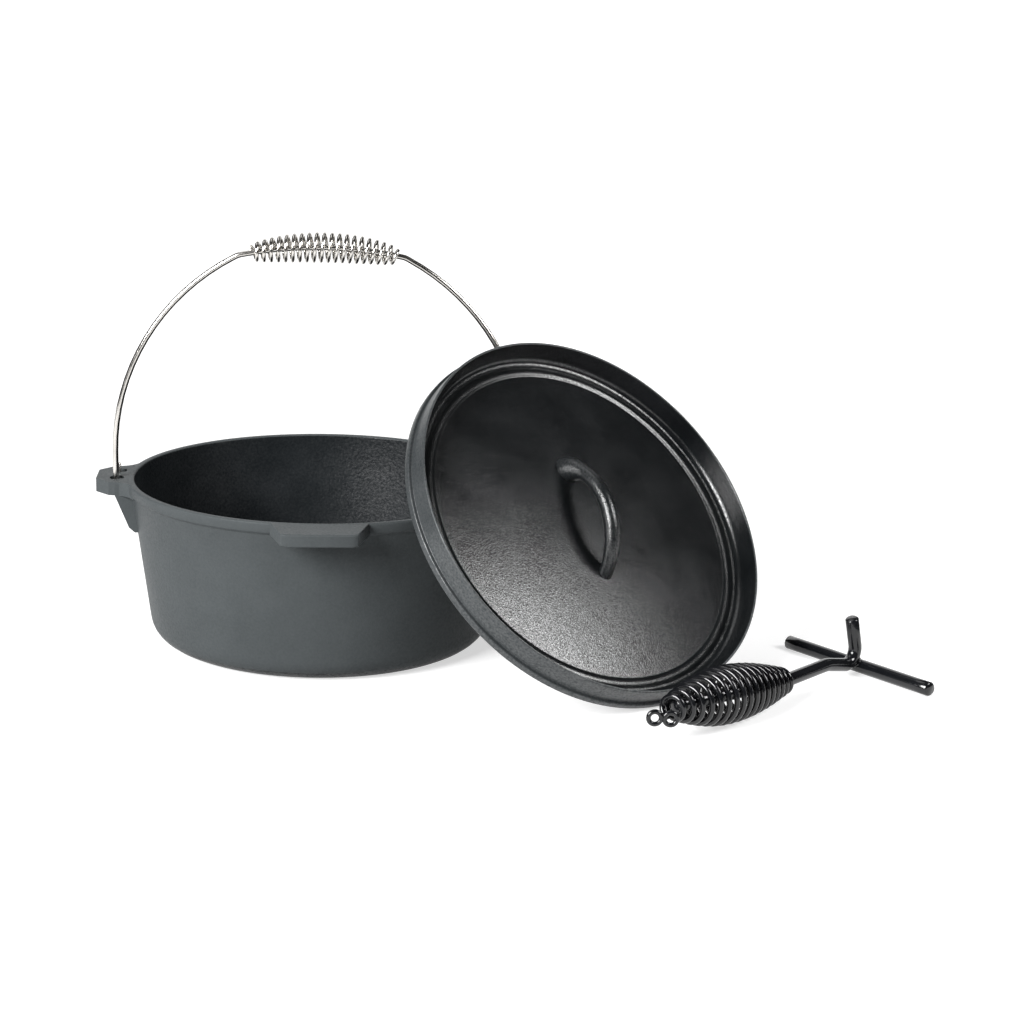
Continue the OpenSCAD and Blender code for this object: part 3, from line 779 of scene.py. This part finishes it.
top_arc_r = (GRIP_CHORD / 2 - LINK_RUN) / math.sin(GRIP_SLOPE)
shoulder_run = SHOULDER_BEND * (math.sin(SHOULDER_SLOPE) - math.sin(GRIP_SLOPE))
link_reach = LINK_RUN * (math.cos(GRIP_SLOPE) + math.cos(SHOULDER_SLOPE))
side_arc_r = (BAIL_SPAN - GRIP_CHORD / 2 - link_reach - shoulder_run) / (1 - math.sin(SHOULDER_SLOPE))
hoop_top = (LEG_H + side_arc_r * math.cos(SHOULDER_SLOPE)
            + SHOULDER_BEND * (math.cos(GRIP_SLOPE) - math.cos(SHOULDER_SLOPE))
            + LINK_RUN * (math.sin(GRIP_SLOPE) + math.sin(SHOULDER_SLOPE))
            + top_arc_r * (1 - math.cos(GRIP_SLOPE)))
bail_frame = (Matrix.Translation((0, 0, hinge_z)) @ Matrix.Rotation(BAIL_LEAN, 4, "X")
              @ Matrix.Translation((BAIL_SWAY, -hook_r, 0)))
half_bail = wire_path(Matrix.Translation((0, 0, hoop_top)) @ Matrix.Rotation(math.pi / 2, 4, "Y"), [
    ("run", LINK_RUN), ("bend", top_arc_r, GRIP_SLOPE), ("run", LINK_RUN),
    ("bend", SHOULDER_BEND, SHOULDER_SLOPE - GRIP_SLOPE), ("run", LINK_RUN),
    ("bend", side_arc_r, math.pi / 2 - SHOULDER_SLOPE), ("run", LEG_H), ("roll", math.pi / 2),
    ("bend", hook_r, math.pi), ("run", hook_tip_run),
])
left_bail = [Vector((-p.x, p.y, p.z)) for p in reversed(half_bail[1:])]
bail_path = [bail_frame @ p for p in left_bail + half_bail]
bail_wire = even_tube("bail_wire_bent", bail_path, BAIL_D, BAIL_SIDES, end_round=BAIL_D / 10)
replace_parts(dress(bail_wire, "bail", "bail_steel", bail_steel), "bail_wire")

grip_mid_r = (GRIP_MID_D - GRIP_WIRE_D) / 2
grip_end_r = BAIL_D / 2 + GRIP_CLEAR + GRIP_WIRE_D / 2 / math.cos(math.pi / SOLID_WIRE_SIDES)
grip_arc = 2 * GRIP_SLOPE - GRIP_BARE
grip_count = GRIP_TURNS * TURN_STEPS


def grip_point(i):
    """A point of the grip's spring, wound round the arc at the top of the bail."""
    t = i / grip_count
    a = 2 * math.pi * i / TURN_STEPS
    bow = (t - 0.5) * grip_arc + GRIP_SLIDE
    r = barrel(t, grip_end_r, grip_mid_r, grip_end_r, belly_at=0.5, power=0.5)
    reach = top_arc_r + r * math.cos(a)
    height = hoop_top - top_arc_r + reach * math.cos(bow)
    return bail_frame @ Vector((reach * math.sin(bow), r * math.sin(a), height))


grip_path = [grip_point(i) for i in range(grip_count + 1)]
bail_grip = even_tube("bail_grip_spring", grip_path, GRIP_WIRE_D, end_round=GRIP_WIRE_D / 8)
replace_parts(dress(bail_grip, "bail", "bail_steel", bail_steel), "bail_grip_coil")


# Lifter: bent rod, crossbar, weld bead, barrel spring and tail eyes

def along(length, slope):
    """A step in the lifter's upright plane."""
    return Vector((length * math.cos(slope), length * math.sin(slope)))


rod_start = ROD_INSET - COIL_TAIL_LEN
kick_end = (Vector((rod_start + ROD_TAIL_RUN, 0))
            + along(2 * ROD_BEND * math.sin(ROD_KICK / 2), ROD_KICK / 2))
dip_end = (kick_end + along(ROD_MID_RUN, ROD_KICK)
           + along(2 * ROD_BEND * math.sin(ROD_DIP / 2), ROD_KICK - ROD_DIP / 2))
shaft_slope = ROD_KICK - ROD_DIP
elbow = dip_end + along(ROD_FRONT_RUN, shaft_slope)
elbow_centre = elbow + along(HOOK_BEND, shaft_slope + math.pi / 2)
bar_turn = shaft_slope - math.pi / 2 + HOOK_TURN / 2
bar_at = elbow_centre + along(HOOK_BEND + ROD_D / 2 + BAR_D / 2 + WELD_GAP, bar_turn)
belly = COIL_MID_D / 2 + LIFTER_CLEAR
bar_rise = BAR_D / 2 + LIFTER_CLEAR - belly
lifter_pitch = math.atan2(bar_at.y, bar_at.x) - math.asin(bar_rise / bar_at.length)
lifter_frame = (Matrix.Translation((*LIFTER_PLACE, belly)) @ Matrix.Rotation(LIFTER_TURN, 4, "Z")
                @ Matrix.Rotation(lifter_pitch, 4, "Y"))

rod_frame = (lifter_frame @ Matrix.Translation((rod_start, 0, 0)) @ Matrix.Rotation(math.pi / 2, 4, "Y")
             @ Matrix.Rotation(math.pi, 4, "Z"))
rod_path = wire_path(rod_frame, [
    ("run", ROD_TAIL_RUN), ("bend", ROD_BEND, ROD_KICK), ("run", ROD_MID_RUN), ("roll", math.pi),
    ("bend", ROD_BEND, ROD_DIP), ("roll", math.pi), ("run", ROD_FRONT_RUN),
    ("bend", HOOK_BEND, HOOK_TURN), ("run", HOOK_RUN),
])
rod = even_tube("lifter_rod_bent", rod_path, ROD_D, ROD_SIDES, end_round=ROD_D / 12)
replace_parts(dress(rod, "lifter", "lifter_black", lifter_black), "lifter_rod")

bar_way = Matrix.Rotation(BAR_SKEW, 3, "Z") @ Vector((0, 1, 0))
bar_middle = Vector((bar_at.x, 0, bar_at.y))
bar_shares = [k / BAR_STEPS - 0.5 for k in range(BAR_STEPS + 1)]
bar_path = [lifter_frame @ (bar_middle + bar_way * BAR_LEN * share) for share in bar_shares]
bar = even_tube("lifter_crossbar_round", bar_path, BAR_D, ROD_SIDES, end_round=BAR_D / 12)
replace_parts(dress(bar, "lifter", "lifter_black", lifter_black), "lifter_crossbar")

weld_at = elbow_centre + along(HOOK_BEND + ROD_D / 2, bar_turn)
weld_across = along(1, bar_turn + math.pi / 2)
weld_path = []
weld_radii = []
for step in range(WELD_STEPS):
    angle = 2 * math.pi * step / WELD_STEPS
    flat = weld_at + weld_across * WELD_REACH * math.cos(angle)
    weld_path.append(lifter_frame @ Vector((flat.x, WELD_REACH * math.sin(angle), flat.y)))
    weld_radii.append(WELD_BEAD * (1 + WELD_RIPPLE_DEPTH * math.sin(WELD_RIPPLES * angle)))
weld = tube("lifter_weld_bead", weld_path, weld_radii, closed=True)
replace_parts(dress(weld, "lifter", "lifter_black", lifter_black), "lifter_crossbar_weld")

coil_len = COIL_TAIL_LEN + COIL_FRONT_LEN
coil_mid_r = (COIL_MID_D - COIL_WIRE_D) / 2
coil_tail_r = (COIL_TAIL_D - COIL_WIRE_D) / 2
coil_front_r = ROD_D / 2 + COIL_CLEAR + COIL_WIRE_D / 2 / math.cos(math.pi / SOLID_WIRE_SIDES)
coil_count = COIL_TURNS * TURN_STEPS


def coil_point(i):
    """A point of the lifter's spring, wound round the rod's tail."""
    t = i / coil_count
    a = 2 * math.pi * i / TURN_STEPS + COIL_START
    r = barrel(t, coil_tail_r, coil_mid_r, coil_front_r, COIL_TAIL_LEN / coil_len, power=1)
    return lifter_frame @ Vector((t * coil_len - COIL_TAIL_LEN, r * math.cos(a), r * math.sin(a)))


coil_path = [coil_point(i) for i in range(coil_count + 1)]
coil = even_tube("lifter_grip_spring", coil_path, COIL_WIRE_D, end_round=COIL_WIRE_D / 8)
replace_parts(dress(coil, "lifter", "lifter_black", lifter_black), "lifter_grip_coil")

eye_ring = EYE_R + EYE_WIRE_D / 2
eye_frame = (lifter_frame
             @ Matrix.Translation((-COIL_TAIL_LEN - COIL_WIRE_D / 2 - EYE_GAP, -EYE_ASIDE, -coil_tail_r))
             @ Matrix.Rotation(-EYE_TURN, 4, "Z") @ Matrix.Rotation(math.pi / 2, 4, "X"))
for side_name, middle_x in (("near", 0), ("far", -EYE_APART)):
    middle = Vector((middle_x, 0, -EYE_WIRE_D / 2))
    circle = arc((0, 0), eye_ring, 0, 360, EYE_STEPS)[:-1]
    ring = [eye_frame @ (middle + Vector((x, y, 0))) for x, y in circle]
    eye = even_tube("lifter_eye_" + side_name, ring, EYE_WIRE_D, closed=True)
    dress(eye, "lifter", "lifter_black", lifter_black)
    if side_name == "near":
        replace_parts(eye, "lifter_tail_eye")

neck_path = [lifter_frame @ Vector((x, y, -coil_tail_r)) for x, y in (
    (-COIL_TAIL_LEN, 0), (-COIL_TAIL_LEN - COIL_WIRE_D / 2, 0), (-COIL_TAIL_LEN - EYE_APART / 2, 0))]
neck = even_tube("lifter_eye_neck", neck_path, EYE_WIRE_D)
dress(neck, "lifter", "lifter_black", lifter_black)


# Floor, lights and camera

def white_studio():
    """A pale floor, a backdrop that sweeps up behind it, and a faint world."""
    sweep_y = STAGE_BACK - STAGE_SWEEP
    outline = [(FLOOR_END, 0.0), (sweep_y, 0.0)]
    outline += arc((sweep_y, STAGE_SWEEP), STAGE_SWEEP, SWEEP_START, 0, SWEEP_STEPS)
    outline += [(STAGE_BACK, STAGE_HEIGHT)]
    stage_sheet("floor", [(STAGE_FRONT, 0.0), (FLOOR_END, 0.0)], FLOOR_GLOW)
    stage_sheet("backdrop", outline, BACKDROP_GLOW)

    world = bpy.data.worlds.new("studio")
    world.use_nodes = True
    bpy.context.scene.world = world
    sky = world.node_tree.nodes["Background"]
    sky.inputs["Color"].default_value = (1, 1, 1, 1)
    sky.inputs["Strength"].default_value = WORLD_LIGHT


def stage_sheet(name, outline, brightness):
    """A pale sheet that glows to the camera and in reflections, and takes shadows from the lamps."""
    vertices = [(side * STAGE_HALF, y, z) for y, z in outline for side in (-1, 1)]
    faces = [(2 * k, 2 * k + 1, 2 * k + 3, 2 * k + 2) for k in range(len(outline) - 1)]
    sheet = add_piece(name, vertices, faces)
    material, nodes, links, shader = new_material("pale_" + name)
    shader.inputs["Base Color"].default_value = SHEET_COLOUR
    shader.inputs["Roughness"].default_value = 0.9
    shader.inputs["Specular IOR Level"].default_value = 0.0
    rays = nodes.new("ShaderNodeLightPath")
    seen = rays.outputs["Is Camera Ray"]
    for kind in ("Is Glossy Ray", "Is Transmission Ray"):
        either = nodes.new("ShaderNodeMath")
        either.operation = "MAXIMUM"
        links.new(seen, either.inputs[0])
        links.new(rays.outputs[kind], either.inputs[1])
        seen = either.outputs[0]
    glow = nodes.new("ShaderNodeMath")
    glow.operation = "MULTIPLY"
    glow.inputs[1].default_value = brightness
    links.new(seen, glow.inputs[0])
    shader.inputs["Emission Color"].default_value = (1, 1, 1, 1)
    links.new(glow.outputs[0], shader.inputs["Emission Strength"])
    sheet.data.materials.append(material)


def area_lamp(name, place, target, size, power):
    """A round soft lamp that faces its target."""
    lamp = bpy.data.lights.new(name, "AREA")
    lamp.shape = "DISK"
    lamp.size = size
    lamp.energy = power
    holder = bpy.data.objects.new(name, lamp)
    holder.location = place
    holder.rotation_euler = (Vector(target) - Vector(place)).to_track_quat("-Z", "Y").to_euler()
    bpy.context.scene.collection.objects.link(holder)


def photo_camera():
    """The camera that was fitted to the photograph."""
    reach = math.cos(CAMERA_PITCH)
    ahead = Vector((math.sin(CAMERA_YAW) * reach, math.cos(CAMERA_YAW) * reach, -math.sin(CAMERA_PITCH)))
    level = Vector((math.cos(CAMERA_YAW), -math.sin(CAMERA_YAW), 0))
    above = level.cross(ahead)
    right = math.cos(CAMERA_ROLL) * level + math.sin(CAMERA_ROLL) * above
    up = math.cos(CAMERA_ROLL) * above - math.sin(CAMERA_ROLL) * level
    turn = Matrix((right, up, -ahead)).transposed().to_4x4()
    data = bpy.data.cameras.new("photo_camera")
    data.sensor_fit = "HORIZONTAL"
    data.sensor_width = SENSOR_W
    data.lens = FOCAL_PX * SENSOR_W / IMAGE_W
    camera = bpy.data.objects.new("photo_camera", data)
    camera.matrix_world = Matrix.Translation(CAMERA_PLACE) @ turn
    bpy.context.scene.collection.objects.link(camera)
    bpy.context.scene.camera = camera


white_studio()
area_lamp("key", place=(-1.66, -1.70, 1.35), target=(0.0, -0.05, 0.1), size=1.5, power=166)
area_lamp("lid_glow", place=(1.585, -0.55, 1.197), target=(0.2, -0.1, 0.12), size=0.75, power=25)
area_lamp("top", place=(-0.2, 0.5, 2.0), target=(0.1, 0, 0), size=1.2, power=5)
photo_camera()
bpy.context.scene.view_settings.view_transform = "Standard"
